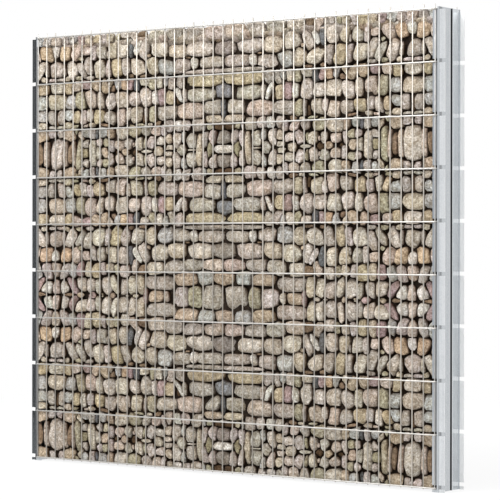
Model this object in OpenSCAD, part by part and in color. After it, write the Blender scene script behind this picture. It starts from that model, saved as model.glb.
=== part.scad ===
// One bay of a gabion fence: two folded sheet posts, two welded wire mats hooked into the posts,
// spacers that tie the mats together, and a stone fill placed in lifts between the spacers.
// X runs along the fence, Y through it (front at -Y), Z up from the ground at the middle of the bay.

/* [Mats] */
// Width of a mat between its outer upright wires
mat_w = 2000; // [1600:50:2400]
// Height of a mat between its lowest and its top level wire
mat_h = 1800; // [1350:9:2160]
// Width of one mesh opening, from upright wire to upright wire
mesh_w = 50; // [40:1:60]
// Diameter of the upright wires
upright_d = 5; // [4:0.5:7]
// Diameter of the level wires
level_d = 6; // [5:0.5:8]
// Depth to which crossing wires are welded into each other
weld_sink = 1; // [0.6:0.1:1.5]
// Height of the upright wires above the top level wire
spike_h = 18; // [8:1:40]
// Length of the upright wires below the lowest level wire
tail_h = 6; // [4:1:12]
// Play between a turned-in wire end and the closed end of its notch
hook_play = 1; // [0.5:0.5:2]

/* [Posts] */
// Depth of a post from its front fold to its rear fold
post_depth = 150; // [120:5:220]
// Thickness of the folded sheet
sheet_t = 3; // [2:0.5:4]
// Width of a flange from the fold to its free edge
flange_w = 27; // [26:1:36]
// Distance by which a flange's free edge lies behind the fold
flange_sweep = 4; // [1:0.5:6]
// Size of the bevel that stands for the rounded fold
fold_bevel = 3; // [2:0.5:4]
// Distance from the last upright wire to the middle of the post
post_gap = 12; // [10:1:16]
// Height of a post above the top level wire
head_h = 7; // [5:1:10]
// Height of the lowest level wire above the ground
foot_h = 15; // [10:1:40]
// Height of the notches in the flanges
notch_h = 15; // [12:1:20]
// Width of sheet left between the notches and the fold
notch_stop = 5; // [4:1:8]
// Width of the stiffening groove in the web
groove_w = 10; // [8:1:16]
// Depth of the stiffening groove in the web
groove_depth = 14; // [8:1:20]
// Distance of the groove behind the middle of the web
groove_shift = 14; // [0:1:20]

/* [Fill] */
// Clearance between the stone fill and the steel
fill_gap = 1; // [0.5:0.5:3]
// Distance of the top of the fill below the top level wire
top_dip = 5; // [0:1:20]

/* [Spacers] */
// Diameter of the spacer rods
spacer_d = 4; // [3:0.5:5]
// Clearance between a spacer and the upright wire that it hooks around
spacer_play = 0.5; // [0.3:0.1:1]
// Number of upright wires from one spacer to the next in a row
spacer_stride = 8; // [6:2:10]

/* [Hidden] */

// One lift of stone between each pair of level wires
lift_count = 9;
level_count = lift_count + 1;
// Whole meshes that come nearest to the stated opening
upright_count = round(mat_w / mesh_w) + 1;
mesh_pitch_x = mat_w / (upright_count - 1);
mesh_pitch_z = mat_h / lift_count;
// Sides of the prisms that stand for round wire
wire_sides = 8;
// Overrun of every cut past the surface that it opens
overrun = 2;

half_depth = post_depth / 2;
mat_half_w = mat_w / 2;
top_level_z = foot_h + mat_h;
post_h = top_level_z + head_h;
post_x = mat_half_w + post_gap;

// Folded sheet outlines, measured from the middle of the post
edge_y = half_depth - flange_sweep;
bevel_y = half_depth - flange_sweep * fold_bevel / flange_w;
corner_y = half_depth - sheet_t - flange_sweep * sheet_t / flange_w;
groove_front_y = groove_shift - groove_w / 2;
groove_rear_y = groove_shift + groove_w / 2;

// Wire planes of the front mat
upright_y = -half_depth - upright_d / 2;
level_y = -half_depth - upright_d - level_d / 2 + weld_sink;
hook_x = post_x - notch_stop - hook_play - level_d / 2;
hook_end_y = -edge_y + sheet_t;

// Stone fill outline, measured from the middle of the bay
fill_front_y = half_depth - fill_gap;
tongue_y = edge_y - sheet_t - fill_gap;
fill_edge_x = post_x - flange_w - fill_gap;
fill_end_x = post_x - sheet_t - fill_gap;
fill_groove_x = post_x - groove_depth - sheet_t - fill_gap;
fill_groove_front_y = groove_front_y - sheet_t - fill_gap;
fill_groove_rear_y = groove_rear_y + sheet_t + fill_gap;
fill_top_z = top_level_z - top_dip;

// Spacers lie on the level wires, and hook around the upright wires
spacer_leg_y = half_depth + upright_d + spacer_d / 2;
spacer_slot_w = spacer_d + 2 * fill_gap;

function upright_x(i) = i * mesh_pitch_x - mat_half_w;
function level_z(k) = foot_h + k * mesh_pitch_z;
function spacer_z(k) = level_z(k) + level_d / 2 + spacer_d / 2;
function spacer_x(i) = upright_x(i) + upright_d / 2 + spacer_play + spacer_d / 2;
function first_spacer(k) = k % 2 == 0 ? spacer_stride : spacer_stride / 2;
function lift_bottom(k) = k == 1 ? 0 : spacer_z(k - 1);
function lift_top(k) = k == lift_count ? fill_top_z : spacer_z(k);

// A straight wire up the Z axis, as a prism that measures d across its flats
module wire(d, len) {
    rotate(180 / wire_sides)
        cylinder(d = d / cos(180 / wire_sides), h = len, $fn = wire_sides);
}

// A straight wire along X, centred on the origin
module wire_along_x(d, len) {
    translate([-len / 2, 0, 0])
        rotate([90, 0, 90])
            wire(d, len);
}

// A straight wire along Y from one value of y to another
module wire_along_y(d, from_y, to_y) {
    translate([0, to_y, 0])
        rotate([90, 0, 0])
            wire(d, to_y - from_y);
}

// One level wire with both ends turned in through the notches
module level_wire() {
    translate([0, level_y, 0])
        wire_along_x(level_d, 2 * hook_x + level_d);
    for (side = [-1, 1])
        translate([side * hook_x, 0, 0])
            wire_along_y(level_d, level_y, hook_end_y);
}

module mat() {
    for (i = [0 : upright_count - 1])
        translate([upright_x(i), upright_y, foot_h - tail_h])
            wire(upright_d, tail_h + mat_h + spike_h);
    for (k = [0 : level_count - 1])
        translate([0, 0, level_z(k)])
            level_wire();
}

module front_mat() {
    color("gainsboro") mat();
}

module rear_mat() {
    color("gainsboro") mirror([0, 1, 0]) mat();
}

// Notches at every level wire, open at the flange's free edge on the -X side of the post
module inner_notches() {
    for (k = [0 : level_count - 1])
        translate([-flange_w - overrun, -half_depth - overrun, level_z(k) - level_d / 2])
            cube([flange_w - notch_stop + overrun, post_depth + 2 * overrun, notch_h]);
}

// The channel that holds this bay's fill, with a groove folded into its web
module inner_channel() {
    difference() {
        linear_extrude(post_h)
            polygon([
                [-flange_w, -edge_y], [-fold_bevel, -bevel_y], [0, fold_bevel - half_depth],
                [0, groove_front_y], [-groove_depth, groove_front_y],
                [-groove_depth, groove_rear_y], [0, groove_rear_y],
                [0, half_depth - fold_bevel], [-fold_bevel, bevel_y], [-flange_w, edge_y],
                [-flange_w, edge_y - sheet_t], [-sheet_t, corner_y],
                [-sheet_t, groove_rear_y + sheet_t], [-groove_depth - sheet_t, groove_rear_y + sheet_t],
                [-groove_depth - sheet_t, groove_front_y - sheet_t], [-sheet_t, groove_front_y - sheet_t],
                [-sheet_t, -corner_y], [-flange_w, sheet_t - edge_y]
            ]);
        difference() {
            inner_notches();
            // The web stays whole behind the notches
            translate([-flange_w, sheet_t - edge_y, -overrun])
                cube([flange_w, 2 * (edge_y - sheet_t), post_h + 2 * overrun]);
        }
    }
}

// The front half of the channel for the next bay, back to back with the inner channel
module front_angle() {
    difference() {
        linear_extrude(post_h)
            polygon([
                [flange_w, -edge_y], [fold_bevel, -bevel_y], [0, fold_bevel - half_depth],
                [0, groove_front_y], [sheet_t, groove_front_y],
                [sheet_t, -corner_y], [flange_w, sheet_t - edge_y]
            ]);
        mirror([1, 0, 0]) inner_notches();
    }
}

// The rear half of the channel for the next bay
module rear_angle() {
    difference() {
        linear_extrude(post_h)
            polygon([
                [flange_w, edge_y], [fold_bevel, bevel_y], [0, half_depth - fold_bevel],
                [0, groove_rear_y], [sheet_t, groove_rear_y],
                [sheet_t, corner_y], [flange_w, edge_y - sheet_t]
            ]);
        mirror([1, 0, 0]) inner_notches();
    }
}

// Stands a piece at the right-hand post, or mirrored at the left-hand post
module at_right() {
    color("lightgray") translate([post_x, 0, 0]) children();
}

module at_left() {
    color("lightgray") mirror([1, 0, 0]) translate([post_x, 0, 0]) children();
}

module left_inner_channel() {
    at_left() inner_channel();
}

module left_front_angle() {
    at_left() front_angle();
}

module left_rear_angle() {
    at_left() rear_angle();
}

module right_inner_channel() {
    at_right() inner_channel();
}

module right_front_angle() {
    at_right() front_angle();
}

module right_rear_angle() {
    at_right() rear_angle();
}

// One row of spacers on the level wires of level k, staggered from row to row
module spacer_row(k) {
    color("silver")
        for (i = [first_spacer(k) : spacer_stride : upright_count - 2])
            translate([0, 0, spacer_z(k)]) {
                translate([spacer_x(i), 0, 0])
                    wire_along_y(spacer_d, -spacer_leg_y - spacer_d / 2, spacer_leg_y + spacer_d / 2);
                for (side = [-1, 1])
                    translate([upright_x(i), side * spacer_leg_y, 0])
                        wire_along_x(spacer_d, upright_d + 2 * (spacer_play + spacer_d));
            }
}

// Room for the spacers of row k where two lifts of stone meet
module spacer_slots(k) {
    for (i = [first_spacer(k) : spacer_stride : upright_count - 2])
        translate([spacer_x(i) - spacer_slot_w / 2, -half_depth, spacer_z(k) - spacer_slot_w / 2])
            cube([spacer_slot_w, post_depth, spacer_slot_w]);
}

// One end of the fill's outline, which reaches into the inner channel around its groove
fill_end = [
    [fill_edge_x, -fill_front_y], [fill_edge_x, -tongue_y], [fill_end_x, -tongue_y],
    [fill_end_x, fill_groove_front_y], [fill_groove_x, fill_groove_front_y],
    [fill_groove_x, fill_groove_rear_y], [fill_end_x, fill_groove_rear_y],
    [fill_end_x, tongue_y], [fill_edge_x, tongue_y], [fill_edge_x, fill_front_y]
];

// One lift of stone, counted from the ground
module fill_lift(k) {
    color("tan")
        difference() {
            translate([0, 0, lift_bottom(k)])
                linear_extrude(lift_top(k) - lift_bottom(k))
                    polygon(concat(
                        fill_end,
                        [for (i = [len(fill_end) - 1 : -1 : 0]) [-fill_end[i][0], fill_end[i][1]]]
                    ));
            if (k > 1) spacer_slots(k - 1);
            if (k < lift_count) spacer_slots(k);
        }
}

left_inner_channel();
left_front_angle();
left_rear_angle();
right_inner_channel();
right_front_angle();
right_rear_angle();
front_mat();
rear_mat();
fill_lift(1);  // fill_lift_1
fill_lift(2);  // fill_lift_2
fill_lift(3);  // fill_lift_3
fill_lift(4);  // fill_lift_4
fill_lift(5);  // fill_lift_5
fill_lift(6);  // fill_lift_6
fill_lift(7);  // fill_lift_7
fill_lift(8);  // fill_lift_8
fill_lift(9);  // fill_lift_9
spacer_row(1);  // spacer_row_1
spacer_row(2);  // spacer_row_2
spacer_row(3);  // spacer_row_3
spacer_row(4);  // spacer_row_4
spacer_row(5);  // spacer_row_5
spacer_row(6);  // spacer_row_6
spacer_row(7);  // spacer_row_7
spacer_row(8);  // spacer_row_8
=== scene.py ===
import math

import bpy
import numpy as np
from mathutils import Matrix, Vector


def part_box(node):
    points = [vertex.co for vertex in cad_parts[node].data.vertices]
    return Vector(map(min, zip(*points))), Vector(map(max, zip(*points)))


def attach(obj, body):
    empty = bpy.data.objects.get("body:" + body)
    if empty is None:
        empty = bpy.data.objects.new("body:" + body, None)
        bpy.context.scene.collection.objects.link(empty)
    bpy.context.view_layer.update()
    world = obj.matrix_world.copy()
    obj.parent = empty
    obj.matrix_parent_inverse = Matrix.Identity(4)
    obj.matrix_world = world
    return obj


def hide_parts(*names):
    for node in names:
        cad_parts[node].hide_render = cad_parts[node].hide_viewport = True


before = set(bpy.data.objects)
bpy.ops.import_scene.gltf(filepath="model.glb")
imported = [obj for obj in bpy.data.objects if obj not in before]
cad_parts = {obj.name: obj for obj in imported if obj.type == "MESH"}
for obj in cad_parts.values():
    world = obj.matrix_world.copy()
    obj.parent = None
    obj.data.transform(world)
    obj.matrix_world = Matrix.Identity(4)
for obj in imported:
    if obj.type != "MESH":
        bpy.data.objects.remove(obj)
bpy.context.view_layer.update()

MM = 0.001

# Wire mats, in metres: numbers and spacings of their wires, the lowest level wire above the ground,
# diameters, the inner side of the upright wires, and the bends of the hooks and spacers
UPRIGHT_COUNT = 41
LEVEL_COUNT = 10
MESH_W = 0.05
MESH_H = 0.2
FOOT_H = 0.015
UPRIGHT_D = 0.005
LEVEL_D = 0.006
UPRIGHT_INSIDE = 0.075
HOOK_BEND = 0.006
SPACER_D = 0.004
SPACER_BEND = 0.0035
SPACER_PLAY = 0.0005
SPACER_STRIDE = 8

# How finely wires and weld beads are made, the chamfer of a wire's ends, and the half sizes of a bead
WIRE_SIDES = 12
BEND_STEPS = 5
END_CHAMFER_SHARE = 0.25
BEAD_SIZE = (0.0041, 0.0017, 0.0043)
BEAD_GRID = 2

# Tints of upright wires, darker than the level wires' as painted shade; how far they vary from wire to wire
# and along the fence, where they get paler from left to right as painted light; and tints of the wires
# beside the posts, darker as painted shade, and of level wires
UPRIGHT_TINT = (0.74, 0.705, 0.655)
UPRIGHT_RANGE = (0.74, 1.22)
UPRIGHT_LIGHT_FADE = (0.9, 1.05)
EDGE_SHADE_TINT = (0.66, 0.66, 0.66)
LEVEL_TINT = (0.79, 0.78, 0.765)

# Where the look of the posts changes, in metres; an edge holds the distances between which a mark fades.
# The groove, the web, the smoother outer sheets, and where the web changes its painted shade, with both
# shades
GROOVE_Y = 0.0155
GROOVE_EDGE = (0.006, 0.007)
WEB_X = 1.015
WEB_EDGE = (0.0015, 0.0025)
OUTER_X = (1.0122, 1.0132)
WEB_CHANGE = (0.0, 0.03)
WEB_PAINTED_SHADES = (0.92, 1.12)

# Painted shade in the fold at the left end of each face, as it is seen: the fold along the fence and its
# edge, where the shade starts along the depth, and the product of both places that tells the left end from
# the right
FOLD_X = 1.0135
FOLD_EDGE = (0.004, 0.006)
FOLD_Y = (0.0728, 0.0735)
LEFT_END = (0.0, 0.01)

# The inside of the outer flanges, painted pale and nearly matt as painted light: its middle and edges along
# the depth of the post, and where it starts along the fence
LIP_Y = 0.0691
LIP_EDGE = (0.0016, 0.0019)
LIP_X = (1.017, 1.0185)

# Painted shadow on the web behind the front notches: where it fades along the depth, the middle of the
# lowest notch above the ground, and its edge
NOTCH_SHADE_Y = (-0.058, -0.05)
NOTCH_SHADE_Z = 0.0195
NOTCH_SHADE_EDGE = (0.007, 0.009)

# Zinc of the posts: crystals to the metre, noises as waves to the metre, detail and roughness, and colours.
# A mix holds the range of a noise over which a colour comes in, and its shares at both ends of that range.
CRYSTALS = 110
CRYSTAL_ZINC = ((0.545, 0.57, 0.595), (0.575, 0.6, 0.62))
RUN_STRETCH = (1, 1, 0.04)
RUN_NOISE = (70, 4.0, 0.55)
RUN_MIX = (0.35, 0.75, 0.0, 0.35)
RUN_ZINC = (0.72, 0.735, 0.745)
DULL_NOISE = (9, 4.0, 0.55)
DULL_MIX = (0.5, 0.75, 0.0, 0.3)
DULL_ZINC = (0.47, 0.49, 0.51)
# Painted light on the outer flanges and the lip, painted shade in the groove, with its share, and painted
# shade behind the notches and in the fold at the left end, with their shares
OUTER_PAINTED_LIGHT = (1.16, 1.15, 1.14)
LIP_PAINTED_LIGHT = (0.97, 0.975, 0.975)
GROOVE_SHADE = (0.02, 0.022, 0.024)
GROOVE_SHADE_SHARE = 0.93
POST_SHADE = (0.03, 0.03, 0.032)
NOTCH_SHADE_SHARE = 0.5
FOLD_SHADE_SHARE = 0.72

# How metallic the sheet is off the lip and on it, where it is nearly matt for its painted light, how rough
# inside and outside, its relief as a height in metres and a strength, and the easing of its edges
SHEET_METALLIC = (0.96, 0.05)
SHEET_ROUGHNESS = (0.28, 0.13)
CRYSTAL_RELIEF = (0.0002, 0.05)
FINE_NOISE = (900, 2.0, 0.55)
FINE_RELIEF = (0.0001, 0.06)
EASING_W = 0.0006
EASING_STEPS = 2
EASING_ANGLE = math.radians(25)

# Zinc of the wires, in the same terms
WIRE_CLOUD = (45, 4.0, 0.55)
WIRE_CLOUD_MIX = (0.35, 0.7, 0.0, 1.0)
WIRE_ZINC = ((0.7, 0.685, 0.66), (0.58, 0.57, 0.55))
WIRE_SPECKS = (700, 3.0, 0.55)
WIRE_SPECK_MIX = (0.55, 0.75, 0.0, 0.3)
WIRE_SPECK_ZINC = (0.42, 0.41, 0.4)
WIRE_ROUGHNESS = (0.3, 0.7, 0.34, 0.5)
WIRE_RELIEF = (0.0002, 0.3)
WIRE_METALLIC = 0.55

# Look of the stones: warm patches; stains, mottles and grain, each as a noise, its range from pale to dark,
# both shades, and its relief; and how rough the grain makes them
WARM_NOISE = (30, 4.0, 0.55)
WARM_MIX = (0.45, 0.7, 0.0, 0.75)
WARM_SHADE = (0.9, 0.82, 0.7)
STONE_PATTERNS = (
    ((70, 6.0, 0.62), (0.38, 0.64), (1.16, 1.18, 1.21), (0.69, 0.66, 0.61), (0.01, 0.8)),
    ((130, 5.0, 0.7), (0.36, 0.64), (1.3, 1.33, 1.37), (0.52, 0.49, 0.44), (0.005, 0.8)),
    ((420, 5.0, 0.7), (0.32, 0.68), (1.3, 1.32, 1.35), (0.585, 0.56, 0.52), (0.0015, 0.5)),
)
GRAIN_ROUGHNESS = (0.3, 0.7, 0.72, 0.92)
STONE_SPECULAR = 0.25

# The factor and the two colours among the inputs of a colour mix, and the colour among its outputs
MIX_INPUTS = (0, 6, 7)
MIX_OUTPUT = 2

# Camera: its place in metres, its turns, and its lens and sensor in millimetres
CAMERA_PLACE = Vector((5.239, -6.9485, 0.920))
CAMERA_YAW = math.radians(-36.598)
CAMERA_PITCH = math.radians(0.085)
CAMERA_ROLL = math.radians(0.077)
CAMERA_LENS = 154.5
CAMERA_SENSOR = 36.0

# Stage, in metres: the light of the world, and the floor, whose white share grows away from the fence
FENCE_MIDDLE = (0, 0, 0.9)
WHITE = (1, 1, 1)
WORLD_LIGHT = 0.34
FLOOR_SIZE = 120
FLOOR_COLOUR = (0.9, 0.9, 0.9)
FLOOR_FADE = (1.0, 4.5)
FLOOR_WHITE_SHARES = (0.88, 1.0)

# Lamps: place, size, power in watts, and whether metal mirrors them
LAMPS = {
    "overhead": ((0.5, -2.6, 5.2), 4.5, 185, True),
    "key": ((-2.0, -4.8, 6.0), 3.2, 408, True),
    "side": ((5.0, -3.5, 2.2), 2.5, 42, False),
    "rear": ((-2.0, 6.0, 4.5), 4.0, 330, True),
}

# Dark cards: place, the point that they face, width, height and shade; and their tint and roughness
FLAGS = {
    "near_flag": ((-2.8, -0.99, 1.0), (-1.03, -0.07, 1.0), 0.96, 3.2, 0.02),
    "ground_flag": ((-2.243, -1.15, 0.0005), (-2.243, -1.15, 1.0), 2.4, 2.4, 0.02),
    "far_flag": ((-4.4, -4.3, 1.0), (0, 0, 1.0), 2.4, 3.2, 0.28),
}
FLAG_TINT = (0.85, 1.0, 1.15)
FLAG_ROUGHNESS = 0.9

# Stone fill, in metres: the lifts, the front and the end of the stones, and the post's inner flange
LIFT_COUNT = 9
STONE_FRONT = 0.0746
STONE_END = 1.006
FLANGE_EDGE = 0.984
FLANGE_W = 0.028
FLANGE_EDGE_Y = 0.071
FLANGE_FOLD_Y = 0.075
FLANGE_INSIDE = 0.066

# Thin stones over the flange at the left end of each face, as it is seen, and dark slabs of painted shade
# behind them and behind the notches at the right end
CHIP_FRONT = 0.0748
CHIP_CLEARANCE = 0.0003
CHIP_RUN = 0.024
SLAB_END = 1.0102
NOTCH_SLAB_X = (0.9865, 1.0085)
NOTCH_SLAB_Y = 0.0668
NOTCH_SLAB_DEPTH = 0.0006
SLAB_DEPTH = 0.0001

# The lowest and highest point of the stones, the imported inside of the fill, and the seed of all draws
STONE_BOTTOM = 0.0125
STONE_TOP = 1.8135
CORE_HALF_DEPTH = 0.045
CORE_STEP = 0.02
CORE_STRAY = 0.006
CORE_TOP_DIP = 0.03
SEED = 41

# How the stones of a face are packed: steps around an outline, the most that a stone outgrows its listed
# block, how round a block's corners are, half the gap between stones, how far away a neighbour is, the
# narrowest stone, the shares of its half size tried along a ray, and a point's weight when it is smoothed
OUTLINE_STEPS = 20
STONE_GROWTH = 0.021
CORNER_SHARE = 0.22
STONE_GAP = 0.0017
NEIGHBOUR_RANGE = 0.2
LEAST_STONE = 0.009
RAY_SHARES = (0.3, 2.4, 48)
OWN_WEIGHT = 10

# The rings of a stone, each as a share of its outline, its side (front, widest place or back), the
# share of light that painted shade takes there, most at the rim and back where stones meet, and the share
# that painted shadow takes besides on the stone's upper side; and how much of each colour the painted shade
# takes
RINGS = (
    (0.3, -1, 0.0, 0.04), (0.6, -1, 0.0, 0.14), (0.82, -1, 0.0, 0.28), (0.93, -1, 0.05, 0.38),
    (0.98, -1, 0.3, 0.3), (1.0, 0, 0.85, 0.1), (0.8, 1, 0.95, 0.0),
)
SHADE_HUE = (0.92, 1.0, 1.05)

# How many sides of an outline are worn straight, and how deep, as a share of half its narrower side
SIDE_COUNT = 5
SIDE_CUT = (0.05, 0.18)

# How a stone is worn: how square its profile is, waves as shares of its size, and flats, with their
# slant from the front in degrees and their depth as a share of its size
PROFILE_POWER = (2.8, 4.6)
WAVE_COUNT = 3
WAVE_LENGTH = (0.5, 1.3)
WAVE_HEIGHT = (0.01, 0.035)
FLAT_COUNT = 4
FLAT_SLANT = (14, 50)
FLAT_CUT = (0.06, 0.2)
FLAT_WEAR = (0.25, 0.25, 0.9)
RIM_WEAR = 0.3
FACE_TILT = 0.16
FACE_LEAN = 0.006

# Sizes and places of the stones, in metres, their depth as a share of their size, and the kind that is sunk
SMALL_STONE = 0.03
DEPTH_SHARE = (0.6, 0.9)
STONE_DEEPEST = 0.055
FACE_RECESS = 0.006
SMALL_RECESS = 0.006
DARK_KIND = "umber"
DARK_RECESS = 0.012

# The stones that close the top: rows across the fence with their dip, the share of painted shade on them
# and how far down that share goes on a face, how square they are, their sizes, and how far they stray and
# sink
TOP_ROW_COUNT = 64
TOP_ROWS = ((-0.034, 0.014), (0, 0), (0.034, 0.014))
TOP_SHADE_SHARE = 0.45
TOP_REACH = 0.03
TOP_POWER = 3.0
TOP_HALF_W = (0.02, 0.03)
TOP_HALF_D = (0.024, 0.036)
TOP_THICKNESS = (0.034, 0.044)
TOP_MARGIN = 0.02
TOP_STRAY = 0.006
TOP_RECESS = (0.002, 0.014)

# How much a stone's tint strays from its kind, and the painted shade at the middle of its back
TINT_RANGE = (0.93, 1.07)
HUE_RANGE = (0.98, 1.02)
BACK_SHADE = 0.95

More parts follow.
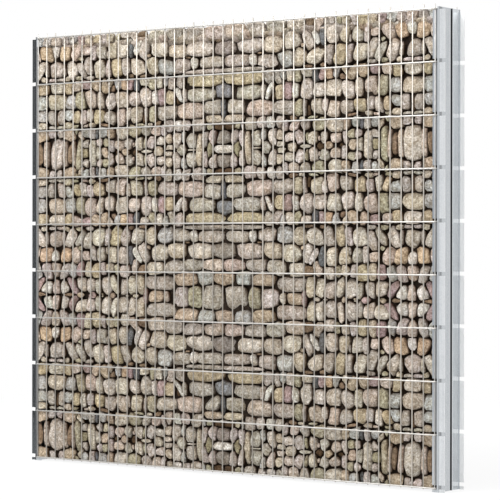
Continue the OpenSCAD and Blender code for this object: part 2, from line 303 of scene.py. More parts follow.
# The stones of one patch of the fill, in millimetres: place across and down from the patch's
# upper left corner, width, height, lean to the right in degrees, and kind.
# The fill repeats the patch, mirrored at each of its edges.
PATCH_W = 900
PATCH_H = 600
PATCH_LEFT = -9
PATCH_TOP = 1315
PATCH_COLUMNS = range(-2, 2)
PATCH_ROWS = range(-1, 3)
PATCH = [
    (0, 0, 90, 38, 0, "white"), (70, 0, 26, 80, 0, "moss"), (122, 0, 28, 130, 0, "sand"),
    (212, 0, 42, 54, 0, "ash"), (165, 0, 50, 12, 0, "cream"), (337, 0, 32, 46, 0, "sand"),
    (404, 0, 58, 14, 0, "cream"), (468, 0, 30, 36, 0, "umber"), (516, 0, 32, 46, 0, "tan"),
    (568, 0, 18, 24, 0, "umber"), (628, 0, 32, 50, 0, "tan"), (663, 0, 28, 60, 0, "ash"),
    (698, 0, 42, 112, 0, "cream"), (738, 0, 40, 46, 0, "moss"), (775, 0, 30, 130, 0, "olive"),
    (799, 0, 18, 110, 0, "pink"), (820, 0, 30, 76, 0, "brown"), (846, 0, 26, 108, 0, "pink"),
    (900, 0, 78, 132, 0, "rose"),
    (0, 46, 76, 54, 0, "dusk"), (54, 48, 40, 62, 10, "lilac"), (93, 42, 28, 62, 0, "lilac"),
    (168, 34, 62, 60, 0, "ash"), (198, 52, 24, 48, 0, "blue"), (243, 42, 40, 60, 0, "rose"),
    (284, 16, 34, 26, 0, "cream"), (281, 44, 38, 40, 0, "sand"), (325, 40, 50, 40, 0, "rose"),
    (378, 40, 40, 62, 25, "lilac"), (411, 34, 18, 48, 10, "olive"), (440, 34, 46, 58, 0, "cream"),
    (470, 30, 18, 22, 0, "pink"), (497, 36, 44, 52, 15, "ash"), (546, 30, 58, 40, 0, "pink"),
    (590, 32, 30, 54, 10, "lilac"), (620, 42, 38, 40, 0, "olive"), (653, 40, 28, 38, 0, "lilac"),
    (735, 42, 30, 42, 0, "grey"),
    (30, 90, 46, 24, 0, "umber"), (74, 90, 34, 24, 0, "olive"), (98, 92, 18, 36, 0, "blue"),
    (130, 98, 54, 50, 0, "grey"), (193, 102, 30, 44, 0, "lilac"), (234, 100, 32, 42, 0, "white"),
    (283, 102, 32, 44, 0, "grey"), (307, 80, 26, 46, 0, "lilac"), (350, 80, 42, 42, 0, "pink"),
    (400, 82, 42, 42, 0, "grey"), (465, 82, 62, 54, 0, "olive"), (538, 78, 78, 54, 0, "cream"),
    (596, 78, 36, 48, 0, "tan"), (640, 92, 42, 54, 0, "blue"), (670, 80, 20, 40, 0, "slate"),
    (694, 84, 32, 52, 0, "lilac"), (736, 86, 36, 46, -20, "blue"), (758, 76, 22, 66, -40, "sand"),
    (782, 98, 28, 32, 0, "olive"), (823, 82, 60, 48, 0, "tan"), (874, 88, 26, 40, 0, "lilac"),
    (345, 112, 30, 18, 0, "brown"), (385, 112, 26, 16, 0, "cream"), (440, 112, 50, 16, 0, "olive"),
    (630, 114, 50, 22, 0, "brown"), (700, 118, 34, 24, 0, "sand"), (735, 116, 26, 18, 0, "pink"),
    (790, 114, 30, 22, 0, "olive"), (832, 118, 44, 26, 0, "sand"), (875, 112, 40, 14, 0, "ash"),
    (52, 124, 86, 30, 0, "sand"), (0, 168, 22, 76, 0, "slate"), (57, 172, 84, 66, 0, "ash"),
    (176, 160, 130, 62, 0, "pink"),
    (294, 160, 104, 56, 0, "grey"), (372, 154, 42, 72, 0, "olive"), (402, 150, 18, 66, 0, "lilac"),
    (418, 138, 22, 46, 0, "umber"), (455, 154, 62, 68, 0, "sand"), (497, 160, 26, 46, 0, "rose"),
    (540, 148, 50, 76, -10, "pink"), (598, 146, 66, 48, 0, "grey"), (659, 154, 60, 54, 0, "ochre"),
    (709, 160, 38, 54, 0, "lilac"), (745, 152, 34, 62, 0, "rose"), (785, 154, 38, 60, 25, "ochre"),
    (825, 166, 48, 46, 0, "blue"), (870, 156, 36, 60, 0, "grey"), (900, 150, 14, 60, 0, "umber"),
    (0, 234, 88, 62, 0, "steel"), (118, 222, 140, 54, 4, "ash"), (198, 222, 24, 50, 0, "grey"),
    (232, 226, 24, 84, -28, "white"), (240, 205, 20, 36, -20, "umber"), (277, 217, 44, 60, 0, "ochre"),
    (322, 220, 38, 76, 0, "mauve"), (356, 222, 34, 66, 0, "white"), (406, 226, 62, 82, 0, "rose"),
    (468, 220, 58, 58, 0, "rose"), (540, 222, 74, 76, 0, "cream"), (600, 218, 70, 64, -15, "rose"),
    (654, 224, 36, 76, 0, "cream"), (708, 228, 62, 78, -10, "pink"), (768, 226, 52, 82, 0, "olive"),
    (818, 218, 56, 62, 0, "blue"), (900, 224, 90, 64, 0, "sand"),
    (105, 282, 192, 46, 2, "ochre"), (228, 280, 46, 46, 0, "grey"), (268, 275, 36, 52, 10, "grey"),
    (298, 290, 30, 40, 0, "blue"), (330, 280, 36, 52, 0, "cream"), (370, 276, 36, 54, 0, "olive"),
    (408, 290, 60, 32, 0, "cream"), (453, 276, 30, 52, 0, "slate"), (486, 282, 32, 46, 0, "mauve"),
    (518, 278, 36, 48, 0, "orange"), (552, 282, 30, 44, 0, "blue"), (580, 268, 30, 30, 0, "brown"),
    (599, 288, 32, 38, 0, "sand"), (624, 276, 48, 52, 0, "tan"), (678, 282, 46, 52, 0, "tan"),
    (728, 290, 42, 40, 0, "mauve"), (785, 286, 48, 50, 20, "pink"), (832, 282, 38, 54, 0, "ochre"),
    (900, 284, 74, 54, 0, "cream"),
    (105, 316, 192, 18, 0, "grey"), (420, 312, 36, 16, 0, "brown"), (480, 318, 40, 22, 0, "brown"),
    (715, 318, 40, 20, 0, "grey"), (778, 322, 36, 24, 0, "olive"), (840, 318, 30, 24, 0, "sand"),
    (880, 316, 44, 18, 0, "lilac"),
    (70, 354, 116, 48, 0, "grey"), (151, 352, 34, 46, 12, "white"), (212, 348, 88, 50, 0, "grey"),
    (183, 378, 26, 12, 0, "brown"), (306, 346, 74, 62, 0, "blue"), (374, 356, 52, 74, -15, "sand"),
    (390, 398, 28, 24, 0, "tan"), (452, 352, 68, 74, -12, "cream"), (515, 356, 46, 78, -15, "grey"),
    (566, 354, 50, 82, -15, "ochre"), (612, 358, 26, 72, -12, "lilac"), (660, 358, 60, 70, -20, "cream"),
    (720, 370, 38, 80, -12, "grey"), (760, 360, 32, 92, -35, "ash"), (815, 360, 44, 96, -30, "rose"),
    (853, 360, 16, 60, 0, "grey"), (900, 360, 78, 64, 0, "grey"),
    (0, 410, 102, 60, 0, "dusk"), (130, 413, 134, 64, 0, "rose"), (243, 408, 92, 60, 0, "sand"),
    (340, 422, 92, 66, 0, "cream"), (414, 418, 46, 84, 18, "rose"), (447, 432, 26, 78, 35, "white"),
    (486, 434, 26, 74, 0, "slate"), (527, 434, 52, 76, 0, "cream"), (590, 430, 50, 70, 0, "sand"),
    (614, 412, 16, 40, 0, "grey"), (648, 426, 52, 64, 0, "ash"), (690, 426, 28, 64, 0, "lilac"),
    (724, 434, 38, 40, 0, "pink"), (770, 398, 24, 22, 0, "olive"), (790, 432, 48, 78, 22, "pink"),
    (850, 428, 60, 68, 0, "orange"), (900, 440, 44, 42, 0, "white"),
    (52, 468, 94, 44, 0, "pink"), (160, 466, 100, 46, -3, "grey"), (258, 478, 86, 52, 0, "ash"),
    (355, 486, 84, 54, 0, "cream"), (424, 490, 44, 36, 0, "brown"), (466, 480, 32, 64, -30, "pink"),
    (518, 500, 48, 56, 0, "rose"), (560, 488, 26, 36, 0, "olive"), (597, 484, 38, 42, 15, "sand"),
    (632, 490, 26, 58, 0, "lilac"), (674, 494, 50, 66, 0, "ochre"), (718, 490, 38, 68, 0, "sand"),
    (762, 488, 36, 66, 0, "mauve"), (806, 496, 40, 62, -15, "blue"), (852, 498, 40, 74, -25, "lilac"),
    (900, 492, 44, 58, 0, "pink"),
    (0, 525, 86, 40, 0, "tan"), (98, 522, 84, 60, 0, "blue"), (196, 530, 122, 50, 0, "tan"),
    (328, 546, 150, 54, -3, "grey"), (434, 554, 40, 78, 0, "sand"), (476, 554, 44, 72, 15, "cream"),
    (525, 562, 52, 70, 0, "grey"), (576, 552, 30, 82, 22, "cream"), (616, 555, 52, 78, 0, "rose"),
    (664, 564, 28, 62, 0, "ash"), (702, 558, 48, 56, 0, "rose"), (762, 554, 62, 56, 0, "cream"),
    (810, 562, 36, 90, 42, "mauve"), (855, 568, 50, 56, 20, "white"), (900, 568, 34, 46, 0, "pink"),
    (58, 600, 92, 100, 0, "ash"), (150, 600, 56, 94, 0, "olive"), (232, 600, 92, 82, 0, "lilac"),
    (296, 600, 28, 44, 0, "cream"), (350, 600, 84, 46, 0, "tan"), (400, 600, 14, 70, 0, "mauve"),
    (457, 600, 28, 18, 0, "cream"), (505, 600, 16, 14, 0, "grey"), (586, 600, 26, 28, 0, "tan"),
    (640, 598, 20, 16, 0, "sand"), (686, 600, 34, 30, 0, "mauve"), (770, 600, 26, 22, 0, "tan"),
    (830, 600, 50, 12, 0, "brown"),
]

# Kinds of stone, as colours on a screen from 0 to 255
KINDS = {
    "white": (220, 215, 207), "cream": (209, 200, 186), "sand": (200, 189, 171),
    "tan": (193, 176, 156), "orange": (206, 182, 155), "ochre": (195, 181, 154),
    "olive": (182, 175, 152), "pink": (205, 190, 178), "rose": (209, 199, 189),
    "lilac": (199, 189, 183), "mauve": (175, 154, 152), "grey": (188, 179, 169),
    "ash": (189, 183, 171), "blue": (187, 186, 182), "slate": (107, 108, 110),
    "brown": (141, 120, 99), "umber": (92, 72, 52), "moss": (156, 148, 122),
    "dusk": (150, 141, 133), "steel": (146, 147, 149),
}
TOP_KINDS = ("cream", "sand", "grey", "pink", "rose", "ash", "lilac", "tan")
# The dark brown of the inside of the fill and of the slabs, painted shade in the gaps between stones
CORE_SHADE_COLOUR = (40, 28, 16)


def linear(colour):
    """A screen colour from 0 to 255 as linear light, by the sRGB formula."""
    share = np.asarray(colour, float) / 255
    return np.where(share <= 0.04045, share / 12.92, ((share + 0.055) / 1.055) ** 2.4)


# Meshes

class Heap:
    """Vertices, faces and tints gathered for one joined piece."""

    def __init__(self):
        self.verts = []
        self.faces = []
        self.tints = []
        self.count = 0

    def add(self, verts, faces, tints):
        """Adds a form with its tint at each vertex."""
        self.faces.extend([tuple(i + self.count for i in face) for face in faces])
        self.verts.append(verts)
        self.tints.append(tints)
        self.count += len(verts)

    def piece(self, name, material, slot):
        """The joined piece, shaded smooth, which rides on the fence."""
        mesh = bpy.data.meshes.new(name)
        mesh.from_pydata(np.concatenate(self.verts).tolist(), [], self.faces)
        mesh.polygons.foreach_set("use_smooth", [True] * len(mesh.polygons))
        layer = mesh.attributes.new("tint", "FLOAT_COLOR", "POINT")
        layer.data.foreach_set("color", np.concatenate(self.tints).astype(np.float32).ravel())
        mesh.materials.append(material)
        mesh.update()
        piece = bpy.data.objects.new(name, mesh)
        bpy.context.scene.collection.objects.link(piece)
        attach(piece, "root")
        return piece


def rounded_path(corners, radius):
    """A path through the corners, with each inner corner turned on an arc."""
    points = [Vector(corners[0])]
    for before, corner, after in zip(corners, corners[1:], corners[2:]):
        corner = Vector(corner)
        back = (Vector(before) - corner).normalized()
        ahead = (Vector(after) - corner).normalized()
        centre = corner + (back + ahead) * radius
        for step in range(BEND_STEPS + 1):
            turn = step / BEND_STEPS * math.pi / 2
            points.append(centre - ahead * radius * math.cos(turn) - back * radius * math.sin(turn))
    points.append(Vector(corners[-1]))
    return points


def wire(path, diameter, up, tint):
    """A round wire along a path in the plane square to up, with chamfered ends and one tint."""
    radius = diameter / 2
    chamfer = diameter * END_CHAMFER_SHARE
    start = (path[1] - path[0]).normalized()
    end = (path[-1] - path[-2]).normalized()
    stations = [(path[0], radius - chamfer), (path[0] + start * chamfer, radius)]
    stations += [(point, radius) for point in path[1:-1]]
    stations += [(path[-1] - end * chamfer, radius), (path[-1], radius - chamfer)]
    angles = [2 * math.pi * i / WIRE_SIDES for i in range(WIRE_SIDES)]
    rings = []
    for i, (point, ring_radius) in enumerate(stations):
        last = stations[max(i - 1, 0)][0]
        following = stations[min(i + 1, len(stations) - 1)][0]
        side = (following - last).normalized().cross(up)
        rings += [point + (side * math.cos(a) + up * math.sin(a)) * ring_radius for a in angles]
    faces = []
    for ring in range(len(stations) - 1):
        low = ring * WIRE_SIDES
        for i in range(WIRE_SIDES):
            j = (i + 1) % WIRE_SIDES
            faces.append((low + i, low + j, low + WIRE_SIDES + j, low + WIRE_SIDES + i))
    faces.append(tuple(reversed(range(WIRE_SIDES))))
    faces.append(tuple(range(len(rings) - WIRE_SIDES, len(rings))))
    return np.array(rings), faces, plain_tints(tint, len(rings))


def ball(grid):
    """Unit vectors and quads of a ball made from the six sides of a cube, grid by grid each."""
    steps = np.tan(np.linspace(-1, 1, grid + 1) * math.pi / 4)
    places = {}
    quads = []
    for axis in range(3):
        for sign in (-1, 1):
            index = np.zeros((grid + 1, grid + 1), int)
            for i, u in enumerate(steps):
                for j, v in enumerate(steps):
                    point = [0.0, 0.0, 0.0]
                    point[axis] = float(sign)
                    point[(axis + 1) % 3] = float(u)
                    point[(axis + 2) % 3] = float(v)
                    key = tuple(round(c, 6) for c in point)
                    index[i, j] = places.setdefault(key, len(places))
            for i in range(grid):
                for j in range(grid):
                    quad = (index[i, j], index[i + 1, j], index[i + 1, j + 1], index[i, j + 1])
                    quads.append(tuple(int(c) for c in (quad if sign > 0 else quad[::-1])))
    points = np.array(list(places))
    return points / np.linalg.norm(points, axis=1, keepdims=True), quads


# Materials

class Tree:
    """The node tree of a material or world, with short ways to add nodes."""

    def __init__(self, owner):
        owner.use_nodes = True
        self.nodes = owner.node_tree.nodes
        self.links = owner.node_tree.links

    def feed(self, node, inputs):
        """Links or sets some of a node's inputs, each to a socket, a number or a colour."""
        for name, value in inputs.items():
            socket = node.inputs[name]
            if isinstance(value, bpy.types.NodeSocket):
                self.links.new(value, socket)
            else:
                socket.default_value = (*value, 1.0) if isinstance(value, tuple) else value

    def add(self, kind, inputs):
        """A new node with some of its inputs fed."""
        node = self.nodes.new(kind)
        self.feed(node, inputs)
        return node

    def place(self, stretch=(1, 1, 1)):
        """The place on the object in metres, stretched where that is given."""
        place = self.nodes.new("ShaderNodeTexCoord").outputs["Object"]
        node = self.add("ShaderNodeMapping", {"Vector": place})
        node.inputs["Scale"].default_value = stretch
        return node.outputs["Vector"]

    def tint(self):
        """The tint that each point of the mesh carries."""
        node = self.nodes.new("ShaderNodeAttribute")
        node.attribute_name = "tint"
        return node.outputs["Color"]

    def noise(self, place, waves, detail, roughness):
        """Noise with a number of waves to the metre."""
        inputs = {"Vector": place, "Scale": waves, "Detail": detail, "Roughness": roughness}
        return self.add("ShaderNodeTexNoise", inputs).outputs["Fac"]

    def spread(self, value, low, high, out_low, out_high):
        """Maps a value from one range to another, and holds it there."""
        inputs = {"Value": value, "From Min": low, "From Max": high, "To Min": out_low, "To Max": out_high}
        return self.add("ShaderNodeMapRange", inputs).outputs["Result"]

    def mix(self, factor, first, second, blend="MIX"):
        """Mixes two colours."""
        node = self.nodes.new("ShaderNodeMix")
        node.data_type = "RGBA"
        node.blend_type = blend
        self.feed(node, dict(zip(MIX_INPUTS, (factor, first, second))))
        return node.outputs[MIX_OUTPUT]

    def maths(self, operation, *values):
        """The result of an operation on values."""
        node = self.nodes.new("ShaderNodeMath")
        node.operation = operation
        self.feed(node, dict(enumerate(values)))
        return node.outputs["Value"]

    def product(self, first, *others):
        """The product of some values."""
        for value in others:
            first = self.maths("MULTIPLY", first, value)
        return first

    def off(self, value, middle=0.0):
        """How far a value is from a middle value."""
        return self.maths("ABSOLUTE", self.maths("SUBTRACT", value, middle))

    def bump(self, pattern, height, strength, below=None):
        """Relief of a height in metres, on top of other relief where given."""
        inputs = {"Height": pattern, "Distance": height, "Strength": strength}
        if below is not None:
            inputs["Normal"] = below
        return self.add("ShaderNodeBump", inputs).outputs["Normal"]

    def seen_directly(self):
        """1 for rays from the camera, and for rays that metal or glass sends on."""
        path = self.nodes.new("ShaderNodeLightPath")
        seen = path.outputs["Is Camera Ray"]
        for name in ("Is Glossy Ray", "Is Transmission Ray"):
            seen = self.maths("MAXIMUM", seen, path.outputs[name])
        return seen

    def choose(self, factor, first, second, output):
        """Sends two shaders to an output node, the second by a factor."""
        choice = self.add("ShaderNodeMixShader", {0: factor, 1: first, 2: second})
        self.feed(self.nodes[output], {"Surface": choice.outputs["Shader"]})


def new_material(name):
    """A material, its node tree and its shader."""
    material = bpy.data.materials.new(name)
    tree = Tree(material)
    return material, tree, tree.nodes["Principled BSDF"]


def clean_zinc(tree, place, crystals):
    """Zinc crystals with faint run marks down the sheet and dull patches."""
    crystal = tree.add("ShaderNodeSeparateColor", {"Color": crystals.outputs["Color"]})
    runs = tree.noise(tree.place(RUN_STRETCH), *RUN_NOISE)
    dull = tree.noise(place, *DULL_NOISE)
    zinc = tree.mix(crystal.outputs["Red"], *CRYSTAL_ZINC)
    zinc = tree.mix(tree.spread(runs, *RUN_MIX), zinc, RUN_ZINC)
    return tree.mix(tree.spread(dull, *DULL_MIX), zinc, DULL_ZINC)


def fold_shade(tree, x, y):
    """Where painted shade darkens the fold at the left end of each face, as it is seen."""
    left_end = tree.spread(tree.product(x, y), *LEFT_END, 0.0, 1.0)
    at_fold = tree.spread(tree.off(tree.off(x), FOLD_X), *FOLD_EDGE, 1.0, 0.0)
    at_front = tree.spread(tree.off(y), *FOLD_Y, 0.0, FOLD_SHADE_SHARE)
    return tree.product(left_end, at_fold, at_front)


def notch_shadows(tree, y, z, on_web):
    """Where painted shadow darkens the web behind the front notches."""
    in_corner = tree.spread(y, *NOTCH_SHADE_Y, NOTCH_SHADE_SHARE, 0.0)
    height = tree.maths("WRAP", z, NOTCH_SHADE_Z + MESH_H / 2, NOTCH_SHADE_Z - MESH_H / 2)
    at_notch = tree.spread(tree.off(height, NOTCH_SHADE_Z), *NOTCH_SHADE_EDGE, 1.0, 0.0)
    return tree.product(on_web, in_corner, at_notch)


def galvanised_sheet():
    """Zinc with crystals a few millimetres wide, painted light on the outer sheets and the lip, and painted
    shade on the web, in the groove, behind the notches and in the fold.
    """
    material, tree, shader = new_material("galvanised_sheet")
    place = tree.place()
    crystals = tree.add("ShaderNodeTexVoronoi", {"Vector": place, "Scale": CRYSTALS})
    x, y, z = tree.add("ShaderNodeSeparateXYZ", {"Vector": place}).outputs
    along = tree.off(x)
    in_groove = tree.spread(tree.off(y, GROOVE_Y), *GROOVE_EDGE, GROOVE_SHADE_SHARE, 0.0)
    beyond_web = tree.spread(along, *LIP_X, 0.0, 1.0)
    lip = tree.spread(tree.off(tree.off(y), LIP_Y), *LIP_EDGE, 1.0, 0.0)
    on_lip = tree.product(lip, beyond_web)
    on_web = tree.spread(tree.off(along, WEB_X), *WEB_EDGE, 1.0, 0.0)
    web_painted_shade = tree.spread(y, *WEB_CHANGE, *WEB_PAINTED_SHADES)
    zinc = clean_zinc(tree, place, crystals)
    # Painted shade in the groove
    zinc = tree.mix(in_groove, zinc, GROOVE_SHADE)
    # Painted light: the outer flanges are paler
    zinc = tree.mix(beyond_web, zinc, tree.mix(1.0, zinc, OUTER_PAINTED_LIGHT, "MULTIPLY"))
    # Painted light: the lip is pale and nearly matt
    zinc = tree.mix(on_lip, zinc, LIP_PAINTED_LIGHT)
    # Painted light and shade on the web, darker in front and paler towards the rear of the post
    zinc = tree.mix(on_web, zinc, tree.mix(1.0, zinc, web_painted_shade, "MULTIPLY"))
    # Painted shade in the fold at the left end of each face
    zinc = tree.mix(fold_shade(tree, x, y), zinc, POST_SHADE)
    # Painted shadow on the web behind the front notches
    zinc = tree.mix(notch_shadows(tree, y, z, on_web), zinc, POST_SHADE)
    relief = tree.bump(crystals.outputs["Distance"], *CRYSTAL_RELIEF)
    tree.feed(shader, {
        "Base Color": zinc,
        "Metallic": tree.spread(on_lip, 0, 1, *SHEET_METALLIC),
        "Roughness": tree.spread(along, *OUTER_X, *SHEET_ROUGHNESS),
        "Normal": tree.bump(tree.noise(place, *FINE_NOISE), *FINE_RELIEF, relief),
    })
    return material


def galvanised_wire():
    """Bright drawn zinc, slightly uneven along the wire and duller in specks, with each wire's tint, which
    carries painted shade and light.
    """
    material, tree, shader = new_material("galvanised_wire")
    place = tree.place()
    cloud = tree.noise(place, *WIRE_CLOUD)
    specks = tree.noise(place, *WIRE_SPECKS)
    zinc = tree.mix(tree.spread(cloud, *WIRE_CLOUD_MIX), *WIRE_ZINC)
    zinc = tree.mix(tree.spread(specks, *WIRE_SPECK_MIX), zinc, WIRE_SPECK_ZINC)
    tree.feed(shader, {
        "Base Color": tree.mix(1.0, zinc, tree.tint(), "MULTIPLY"),
        "Metallic": WIRE_METALLIC,
        "Roughness": tree.spread(cloud, *WIRE_ROUGHNESS),
        "Normal": tree.bump(specks, *WIRE_RELIEF),
    })
    return material


def stone():
    """Water-worn stone: each stone's tint, which carries painted shade at its rim and upper side, with warm
    patches, stains, mottles and fine grain.
    """
    material, tree, shader = new_material("stone")
    place = tree.place()
    warmth = tree.spread(tree.noise(place, *WARM_NOISE), *WARM_MIX)
    colour = tree.mix(warmth, tree.tint(), WARM_SHADE, "MULTIPLY")
    relief = None
    for noise, pale_to_dark, pale, dark, height in STONE_PATTERNS:
        pattern = tree.noise(place, *noise)
        shade = tree.mix(tree.spread(pattern, *pale_to_dark, 0.0, 1.0), pale, dark)
        colour = tree.mix(1.0, colour, shade, "MULTIPLY")
        relief = tree.bump(pattern, *height, relief)
    grain = pattern
    tree.feed(shader, {
        "Base Color": colour,
        "Roughness": tree.spread(grain, *GRAIN_ROUGHNESS),
        "Specular IOR Level": STONE_SPECULAR,
        "Normal": relief,
    })
    return material


# Mats and spacers

def upright_x(i):
    """The place of an upright wire along the fence."""
    return (i - (UPRIGHT_COUNT - 1) / 2) * MESH_W


def level_z(k):
    """The height of a level wire."""
    return FOOT_H + k * MESH_H


def mat(name, node, material):
    """A welded mat of round wires, with level wires turned in at both posts and a bead at each weld."""
    low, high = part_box(node)
    front = -1 if low.y < 0 else 1
    outer_y, inner_y = (low.y, high.y) if front < 0 else (high.y, low.y)
    level_y = outer_y - front * LEVEL_D / 2
    upright_y = front * (UPRIGHT_INSIDE + UPRIGHT_D / 2)
    hook_x = high.x - LEVEL_D / 2
    heap = Heap()
    shades = np.random.default_rng(SEED).uniform(*UPRIGHT_RANGE, UPRIGHT_COUNT)
    # Painted light: the upright wires get paler from left to right along the fence
    shades *= np.linspace(*UPRIGHT_LIGHT_FADE, UPRIGHT_COUNT)
    tints = [np.array(UPRIGHT_TINT) * shade for shade in shades]
    # Painted shade: the two wires beside the posts are darker
    tints[0] = tints[-1] = EDGE_SHADE_TINT
    for i in range(UPRIGHT_COUNT):
        foot = Vector((upright_x(i), upright_y, low.z))
        head = Vector((upright_x(i), upright_y, high.z))
        heap.add(*wire([foot, head], UPRIGHT_D, Vector((0, 1, 0)), tints[i]))
    bead_points, bead_quads = ball(BEAD_GRID)
    bead_y = (upright_y + level_y) / 2
    for k in range(LEVEL_COUNT):
        z = level_z(k)
        corners = [
            (-hook_x, inner_y, z), (-hook_x, level_y, z), (hook_x, level_y, z), (hook_x, inner_y, z),
        ]
        heap.add(*wire(rounded_path(corners, HOOK_BEND), LEVEL_D, Vector((0, 0, 1)), LEVEL_TINT))
        for i in range(UPRIGHT_COUNT):
            bead = bead_points * BEAD_SIZE + (upright_x(i), bead_y, z)
            heap.add(bead, bead_quads, plain_tints(tints[i], len(bead)))
    piece = heap.piece(name, material, "galvanised_wire")
    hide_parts(node)


def spacer_row(k, material):
    """One row of spacers, each a rod through the fill, bent around an upright wire at both ends."""
    node = f"spacer_row_{k}"
    low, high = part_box(node)
    leg_y = high.y - SPACER_D / 2
    z = (low.z + high.z) / 2
    reach = UPRIGHT_D / 2 + SPACER_PLAY + SPACER_D
    first = SPACER_STRIDE if k % 2 == 0 else SPACER_STRIDE // 2
    heap = Heap()
    for i in range(first, UPRIGHT_COUNT - 1, SPACER_STRIDE):
        tip_x = upright_x(i) - reach
        rod_x = upright_x(i) + reach - SPACER_D / 2
        corners = [(tip_x, -leg_y, z), (rod_x, -leg_y, z), (rod_x, leg_y, z), (tip_x, leg_y, z)]
        heap.add(*wire(rounded_path(corners, SPACER_BEND), SPACER_D, Vector((0, 0, 1)), UPRIGHT_TINT))
    piece = heap.piece(f"spacers_{k}", material, "galvanised_wire")
    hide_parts(node)


# Stone fill

def patch_copies():
    """Each stone of a face once, cut off at its edges, in metres: centre, width, height, lean, kind."""
    seen = set()
    for column in PATCH_COLUMNS:
        for row in PATCH_ROWS:
            for across, down, width, height, lean, kind in PATCH:
                x_in = across if column % 2 == 0 else PATCH_W - across
                z_in = down if row % 2 == 0 else PATCH_H - down
                turn = lean if (column + row) % 2 == 0 else -lean
                x = (PATCH_LEFT + column * PATCH_W + x_in) * MM
                z = (PATCH_TOP - row * PATCH_H - z_in) * MM
                left = max(x - width / 2 * MM, -STONE_END)
                right = min(x + width / 2 * MM, STONE_END)
                low = max(z - height / 2 * MM, STONE_BOTTOM)
                high = min(z + height / 2 * MM, STONE_TOP)
                key = (round(x, 4), round(z, 4))
                if min(right - left, high - low) > LEAST_STONE and key not in seen:
                    seen.add(key)
                    yield (left + right) / 2, (low + high) / 2, right - left, high - low, turn, kind


def outside_block(points, halves):
    """How far points lie outside a block with rounded corners, or below zero how far inside it."""
    corner = CORNER_SHARE * halves.min(axis=-1, keepdims=True)
    past = np.abs(points) - (halves - corner)
    beyond = np.linalg.norm(np.maximum(past, 0), axis=-1)
    return beyond + np.minimum(past.max(axis=-1), 0) - corner[..., 0]


def unit_circle():
    """A point of the unit circle for each step of an outline."""
    turns = np.arange(OUTLINE_STEPS) * 2 * math.pi / OUTLINE_STEPS
    return np.column_stack((np.cos(turns), np.sin(turns)))


def packed_outlines(rows):
    """Each stone's outline around its centre: its block, grown until it meets those beside it."""
    centres = np.array([row[:2] for row in rows])
    halves = np.array([row[2:4] for row in rows]) / 2
    leans = np.radians([row[4] for row in rows])
    across = np.stack((np.cos(leans), -np.sin(leans)), axis=1)
    along = np.stack((np.sin(leans), np.cos(leans)), axis=1)
    frames = np.stack((across, along), axis=2)
    circle = unit_circle()
    shares = np.linspace(*RAY_SHARES)
    outlines = []
    for i, centre in enumerate(centres):
        beside = np.abs(centre - centres).max(axis=1) < NEIGHBOUR_RANGE
        beside[i] = False
        rays = circle * halves[i]
        tried = (rays[:, None, :] * shares[None, :, None]).reshape(-1, 2)
        own = outside_block(tried, halves[i][None])
        places = tried @ frames[i].T + centre
        apart = (places[None] - centres[beside][:, None]) @ frames[beside]
        nearest = outside_block(apart, halves[beside][:, None]).min(axis=0)
        room = np.minimum(nearest - own - 2 * STONE_GAP, STONE_GROWTH - own)
        room = np.minimum(room, STONE_END - np.abs(places[:, 0])).reshape(OUTLINE_STEPS, -1)
        full = np.argmax(np.column_stack((room < 0, np.ones(OUTLINE_STEPS, bool))), axis=1)
        last = np.clip(full - 1, 0, len(shares) - 2)
        steps = np.arange(OUTLINE_STEPS)
        left, lack = room[steps, last], room[steps, last + 1]
        part = np.clip(np.where(left > lack, left / np.where(left > lack, left - lack, 1), 1), 0, 1)
        share = shares[last] + part * (shares[1] - shares[0])
        share = (np.roll(share, 1) + OWN_WEIGHT * share + np.roll(share, -1)) / (OWN_WEIGHT + 2)
        outlines.append((rays * share[:, None]) @ frames[i].T)
    return outlines


def stone_faces(steps):
    """Triangles and quads over a stone's rings, from the middle of its front to the middle of its back."""
    faces = []
    last = 1 + len(RINGS) * steps
    for i in range(steps):
        j = (i + 1) % steps
        faces.append((0, 1 + i, 1 + j))
        for ring in range(len(RINGS) - 1):
            near = 1 + ring * steps
            far = near + steps
            faces.append((near + i, far + i, far + j, near + j))
        faces.append((last, last - steps + j, last - steps + i))
    return faces


def chipped(outline, rng):
    """An outline with a few of its sides worn straight."""
    half = np.ptp(outline, axis=0).min() / 2
    for turn in rng.uniform(0, 2 * math.pi, SIDE_COUNT):
        reach = outline @ (math.cos(turn), math.sin(turn))
        limit = reach.max() - half * rng.uniform(*SIDE_CUT)
        outline = outline * (limit / np.maximum(reach, limit))[:, None]
    return outline


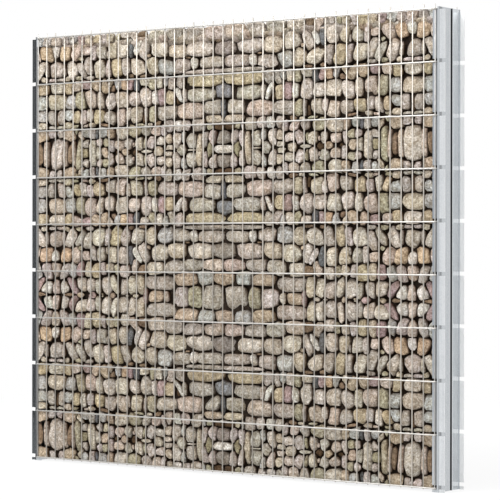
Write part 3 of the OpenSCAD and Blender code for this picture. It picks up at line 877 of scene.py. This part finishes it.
def worn_stone(outline, depth, rng):
    """A stone inside an outline, as points across, up and behind its front, with waves and worn flats."""
    size = np.ptp(outline, axis=0).min()
    power = rng.uniform(*PROFILE_POWER)
    form = [np.zeros((1, 3))]
    wear = [np.ones(1)]
    for share, side, _, _ in RINGS:
        behind = depth / 2 * (1 + side * (1 - share ** power) ** (1 / power))
        form.append(np.column_stack((outline * share, np.full(len(outline), behind))))
        wear.append(np.full(len(outline), {-1: 1, 0: RIM_WEAR, 1: 0}[side]))
    form = np.concatenate(form + [np.array([(0, 0, depth)])])
    wear = np.concatenate(wear + [np.zeros(1)])
    for _ in range(WAVE_COUNT):
        way = rng.normal(size=3)
        way *= 2 * math.pi / (size * rng.uniform(*WAVE_LENGTH) * np.linalg.norm(way))
        form[:, 2] += size * rng.uniform(*WAVE_HEIGHT) * np.cos(form @ way + rng.uniform(0, 2 * math.pi))
    for _ in range(FLAT_COUNT):
        turn = rng.uniform(0, 2 * math.pi)
        slant = math.radians(rng.uniform(*FLAT_SLANT))
        flat = np.array((
            math.sin(slant) * math.cos(turn), math.sin(slant) * math.sin(turn), -math.cos(slant),
        ))
        height = form @ flat
        over = np.maximum(height - height.max() + size * rng.uniform(*FLAT_CUT), 0)
        form -= (wear * over)[:, None] * flat * FLAT_WEAR
    tilt = min(FACE_TILT, FACE_LEAN / size)
    form[:, 2] += form[:, :2] @ rng.uniform(-tilt, tilt, 2)
    form[:, 2] -= form[:, 2].min()
    return form


def shaded(colour, outline, shade_share, upper_shadow_share):
    """A stone's tint at each point, darker and browner as painted shade towards its rim and back, and as
    painted shadow on its upper side.
    """
    upper = upper_shadow_share * np.clip(outline[:, 1] / outline[:, 1].max(), 0, 1)
    rings = [np.minimum(rim_shade + upper_shadow * upper, BACK_SHADE) for _, _, rim_shade, upper_shadow in RINGS]
    taken = shade_share * np.concatenate(([0], *rings, [BACK_SHADE]))
    tints = np.ones((len(taken), 4))
    tints[:, :3] = colour * (1 - taken[:, None] * SHADE_HUE)
    return tints


def plain_tints(colour, count):
    """The same tint at each of a number of points."""
    tints = np.ones((count, 4))
    tints[:, :3] = colour
    return tints


def flange_front(x):
    """The front face of the post's inner flange, which leans from its edge towards its fold."""
    return -FLANGE_EDGE_Y - (FLANGE_FOLD_Y - FLANGE_EDGE_Y) * (np.abs(x) - FLANGE_EDGE) / FLANGE_W


def face_stone(row, outline, front, rng):
    """One stone of the front or rear face, with its tint at each vertex."""
    x, z, width, height, _, kind = row
    size = math.sqrt(width * height)
    outline = chipped(outline[::2] if size < SMALL_STONE else outline, rng)
    form = worn_stone(outline, min(size * rng.uniform(*DEPTH_SHARE), STONE_DEEPEST), rng)
    recess = rng.uniform(0, FACE_RECESS)
    recess += SMALL_RECESS if size < SMALL_STONE else 0
    recess += DARK_RECESS if kind == DARK_KIND else 0
    if x - width <= -FLANGE_EDGE:
        recess = 0
    place = np.column_stack((
        np.clip(x + form[:, 0], -STONE_END, STONE_END),
        recess - STONE_FRONT + form[:, 2],
        np.clip(z + form[:, 1], STONE_BOTTOM, STONE_TOP),
    ))
    at_right = place[:, 0] > FLANGE_EDGE
    place[at_right, 1] = np.maximum(place[at_right, 1], -FLANGE_INSIDE)
    inward = form[:, 2] / form[:, 2].max()
    chip = inward * (flange_front(place[:, 0]) - CHIP_CLEARANCE) - (1 - inward) * CHIP_FRONT
    flatness = np.clip((-FLANGE_EDGE - place[:, 0]) / CHIP_RUN + 1, 0, 1)
    place[:, 1] += flatness * (chip - place[:, 1])
    colour = linear(KINDS[kind]) * rng.uniform(*TINT_RANGE) * rng.uniform(*HUE_RANGE, 3)
    if front > 0:
        place[:, :2] *= -1
    shade_share = TOP_SHADE_SHARE if z + height / 2 > STONE_TOP - TOP_REACH else 1
    return place, stone_faces(len(outline)), shaded(colour, outline, shade_share, 1)


def top_stone(i, row_y, row_dip, rng):
    """One stone of the rows that close the top between the two faces."""
    circle = unit_circle()
    outline = circle * (np.abs(circle) ** TOP_POWER).sum(axis=1)[:, None] ** (-1 / TOP_POWER)
    outline = outline * (rng.uniform(*TOP_HALF_W), rng.uniform(*TOP_HALF_D))
    form = worn_stone(outline, rng.uniform(*TOP_THICKNESS), rng)
    row_w = 2 * (STONE_END - TOP_MARGIN)
    x = row_w * ((i + 0.5) / TOP_ROW_COUNT - 0.5) + rng.uniform(-TOP_STRAY, TOP_STRAY)
    y = row_y + rng.uniform(-TOP_STRAY, TOP_STRAY)
    z = STONE_TOP - row_dip - rng.uniform(*TOP_RECESS)
    colour = linear(KINDS[TOP_KINDS[rng.integers(len(TOP_KINDS))]]) * rng.uniform(*TINT_RANGE)
    across = np.clip(x + form[:, 0], -STONE_END, STONE_END)
    depth = np.clip(y + form[:, 1], -FLANGE_INSIDE, FLANGE_INSIDE)
    place = np.column_stack((across, depth, z - form[:, 2]))
    return place, stone_faces(OUTLINE_STEPS), shaded(colour, outline, TOP_SHADE_SHARE, 0)


def core(bottom, top, rng):
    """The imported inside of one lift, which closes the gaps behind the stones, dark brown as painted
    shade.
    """
    columns = round(2 * FLANGE_EDGE / CORE_STEP) + 1
    rows = max(round((top - bottom) / CORE_STEP), 1) + 1
    xs = np.linspace(-FLANGE_EDGE, FLANGE_EDGE, columns)
    zs = np.linspace(bottom, top, rows)
    front = np.array([(x, -CORE_HALF_DEPTH, z) for x in xs for z in zs])
    front[:, 1] += rng.uniform(-CORE_STRAY, CORE_STRAY, len(front))
    rear = front * (1, -1, 1)
    shift = len(front)
    quads = []
    for i in range(columns - 1):
        for j in range(rows - 1):
            a, b = i * rows + j, (i + 1) * rows + j
            quads += [(a, b, b + 1, a + 1), tuple(shift + c for c in (a, a + 1, b + 1, b))]
    for i in range(columns - 1):
        for j, flip in ((0, True), (rows - 1, False)):
            a, b = i * rows + j, (i + 1) * rows + j
            quad = (a, b, shift + b, shift + a)
            quads.append(quad[::-1] if flip else quad)
    for i, flip in ((0, False), (columns - 1, True)):
        for j in range(rows - 1):
            a, b = i * rows + j, i * rows + j + 1
            quad = (a, b, shift + b, shift + a)
            quads.append(quad[::-1] if flip else quad)
    verts = np.concatenate((front, rear))
    return verts, quads, plain_tints(linear(CORE_SHADE_COLOUR), len(verts))


def slab(xs, ys, depth, bottom, top, front):
    """A thin upright dark slab of painted shade behind the line from one end to the other."""
    verts = np.array([
        (x, y + back, z) for z in (bottom, top) for back in (0, depth) for x, y in zip(xs, ys)
    ])
    quads = [(0, 1, 5, 4), (3, 2, 6, 7), (2, 0, 4, 6), (1, 3, 7, 5), (2, 3, 1, 0), (4, 5, 7, 6)]
    if front > 0:
        verts[:, :2] *= -1
    return verts, quads, plain_tints(linear(CORE_SHADE_COLOUR), len(verts))


def flange_shade_slab(bottom, top, front):
    """Painted shade on the flange behind the chips that lie over it, at the left end as each face is seen.
    """
    xs = np.array((-SLAB_END, -FLANGE_EDGE))
    return slab(xs, flange_front(xs) - CHIP_CLEARANCE / 2, SLAB_DEPTH, bottom, top, front)


def notch_shade_slab(bottom, top, front):
    """Painted shade that shows through the notches of the flange at the right end, as each face is seen."""
    return slab(NOTCH_SLAB_X, (-NOTCH_SLAB_Y, -NOTCH_SLAB_Y), NOTCH_SLAB_DEPTH, bottom, top, front)


def fill(material):
    """The stones of both faces and the top, with the dark inside and the slabs of painted shade, joined
    lift by lift.
    """
    rng = np.random.default_rng(SEED)
    boxes = [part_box(f"fill_lift_{k}") for k in range(1, LIFT_COUNT + 1)]
    heaps = [Heap() for _ in boxes]
    for (low, high), heap in zip(boxes, heaps):
        bottom = max(low.z, STONE_BOTTOM)
        top = high.z - (CORE_TOP_DIP if heap is heaps[-1] else 0)
        heap.add(*core(bottom, top, rng))
        for front in (-1, 1):
            heap.add(*flange_shade_slab(bottom, top, front))
            heap.add(*notch_shade_slab(bottom, top, front))
    rows = list(patch_copies())
    for row, outline in zip(rows, packed_outlines(rows)):
        lift = next((n for n, (_, high) in enumerate(boxes) if row[1] < high.z), LIFT_COUNT - 1)
        for front in (-1, 1):
            heaps[lift].add(*face_stone(row, outline, front, rng))
    for row_y, row_dip in TOP_ROWS:
        for i in range(TOP_ROW_COUNT):
            heaps[-1].add(*top_stone(i, row_y, row_dip, rng))
    for k, heap in enumerate(heaps, start=1):
        piece = heap.piece(f"stones_lift_{k}", material, "stone")
        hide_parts(f"fill_lift_{k}")


# Posts

def dress_posts(material):
    """The folded sheets keep their shape, with slightly eased edges."""
    for side in ("left", "right"):
        for sheet in ("inner_channel", "front_angle", "rear_angle"):
            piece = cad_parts[f"{side}_{sheet}"]
            piece.data.materials.clear()
            piece.data.materials.append(material)
            easing = piece.modifiers.new("eased_edges", "BEVEL")
            easing.width = EASING_W
            easing.segments = EASING_STEPS
            easing.limit_method = "ANGLE"
            easing.angle_limit = EASING_ANGLE
            easing.harden_normals = True


# Camera, light and floor

def camera():
    """The camera of the photograph: from the right of the fence, level with its middle."""
    data = bpy.data.cameras.new("camera")
    data.lens = CAMERA_LENS
    data.sensor_width = CAMERA_SENSOR
    level = math.cos(CAMERA_PITCH)
    ahead = Vector((
        math.sin(CAMERA_YAW) * level, math.cos(CAMERA_YAW) * level, -math.sin(CAMERA_PITCH),
    ))
    right = Vector((math.cos(CAMERA_YAW), -math.sin(CAMERA_YAW), 0))
    up = right.cross(ahead)
    turned_right = right * math.cos(CAMERA_ROLL) + up * math.sin(CAMERA_ROLL)
    turned_up = up * math.cos(CAMERA_ROLL) - right * math.sin(CAMERA_ROLL)
    eye = bpy.data.objects.new("camera", data)
    turn = Matrix((turned_right, turned_up, -ahead)).transposed().to_4x4()
    eye.matrix_world = Matrix.Translation(CAMERA_PLACE) @ turn
    bpy.context.scene.collection.objects.link(eye)
    bpy.context.scene.camera = eye


def lamp(name, place, size, power, mirrored):
    """A large soft lamp aimed at the middle of the fence, which metal may mirror."""
    data = bpy.data.lights.new(name, "AREA")
    data.shape = "SQUARE"
    data.size = size
    data.energy = power
    light = bpy.data.objects.new(name, data)
    light.location = place
    light.rotation_euler = (Vector(FENCE_MIDDLE) - Vector(place)).to_track_quat("-Z", "Y").to_euler()
    light.visible_glossy = mirrored
    bpy.context.scene.collection.objects.link(light)


def white_world():
    """White where it is seen, and a soft light of a plain level on everything else."""
    world = bpy.data.worlds.new("studio")
    bpy.context.scene.world = world
    tree = Tree(world)
    ambient = tree.nodes["Background"]
    backdrop = tree.add("ShaderNodeBackground", {"Color": WHITE, "Strength": 1})
    tree.feed(ambient, {"Color": WHITE, "Strength": WORLD_LIGHT})
    shaders = ambient.outputs["Background"], backdrop.outputs["Background"]
    tree.choose(tree.seen_directly(), *shaders, "World Output")


def rectangle(name, width, height):
    """A flat rectangle around the origin."""
    w, h = width / 2, height / 2
    mesh = bpy.data.meshes.new(name)
    mesh.from_pydata([(-w, -h, 0), (w, -h, 0), (w, h, 0), (-w, h, 0)], [], [(0, 1, 2, 3)])
    piece = bpy.data.objects.new(name, mesh)
    bpy.context.scene.collection.objects.link(piece)
    return piece


def floor():
    """A pale floor that keeps a faint shadow near the fence."""
    plane = rectangle("floor", FLOOR_SIZE, FLOOR_SIZE)
    material, tree, shader = new_material("floor")
    tree.nodes.remove(shader)
    matt = tree.add("ShaderNodeBsdfDiffuse", {"Color": FLOOR_COLOUR})
    white = tree.add("ShaderNodeEmission", {"Strength": 1})
    distance = tree.add("ShaderNodeVectorMath", {0: tree.place()})
    distance.operation = "LENGTH"
    share = tree.spread(distance.outputs["Value"], *FLOOR_FADE, *FLOOR_WHITE_SHARES)
    shaders = matt.outputs["BSDF"], white.outputs["Emission"]
    tree.choose(tree.product(share, tree.seen_directly()), *shaders, "Material Output")
    plane.data.materials.append(material)


def flag(name, place, target, width, height, shade):
    """A dark card that only bright metal mirrors, and that takes no light from the fence."""
    card = rectangle(name, width, height)
    card.location = place
    card.rotation_euler = (Vector(place) - Vector(target)).to_track_quat("Z", "Y").to_euler()
    card.visible_camera = False
    card.visible_diffuse = False
    card.visible_shadow = False
    material, tree, shader = new_material(name)
    colour = tuple(shade * part for part in FLAG_TINT)
    tree.feed(shader, {"Base Color": colour, "Roughness": FLAG_ROUGHNESS})
    card.data.materials.append(material)


camera()
white_world()
floor()
for name, values in LAMPS.items():
    lamp(name, *values)
for name, values in FLAGS.items():
    flag(name, *values)

wire_zinc = galvanised_wire()
dress_posts(galvanised_sheet())
mat("front_wires", "front_mat", wire_zinc)
mat("rear_wires", "rear_mat", wire_zinc)
for row in range(1, LEVEL_COUNT - 1):
    spacer_row(row, wire_zinc)
fill(stone())

bpy.context.scene.view_settings.view_transform = "Standard"
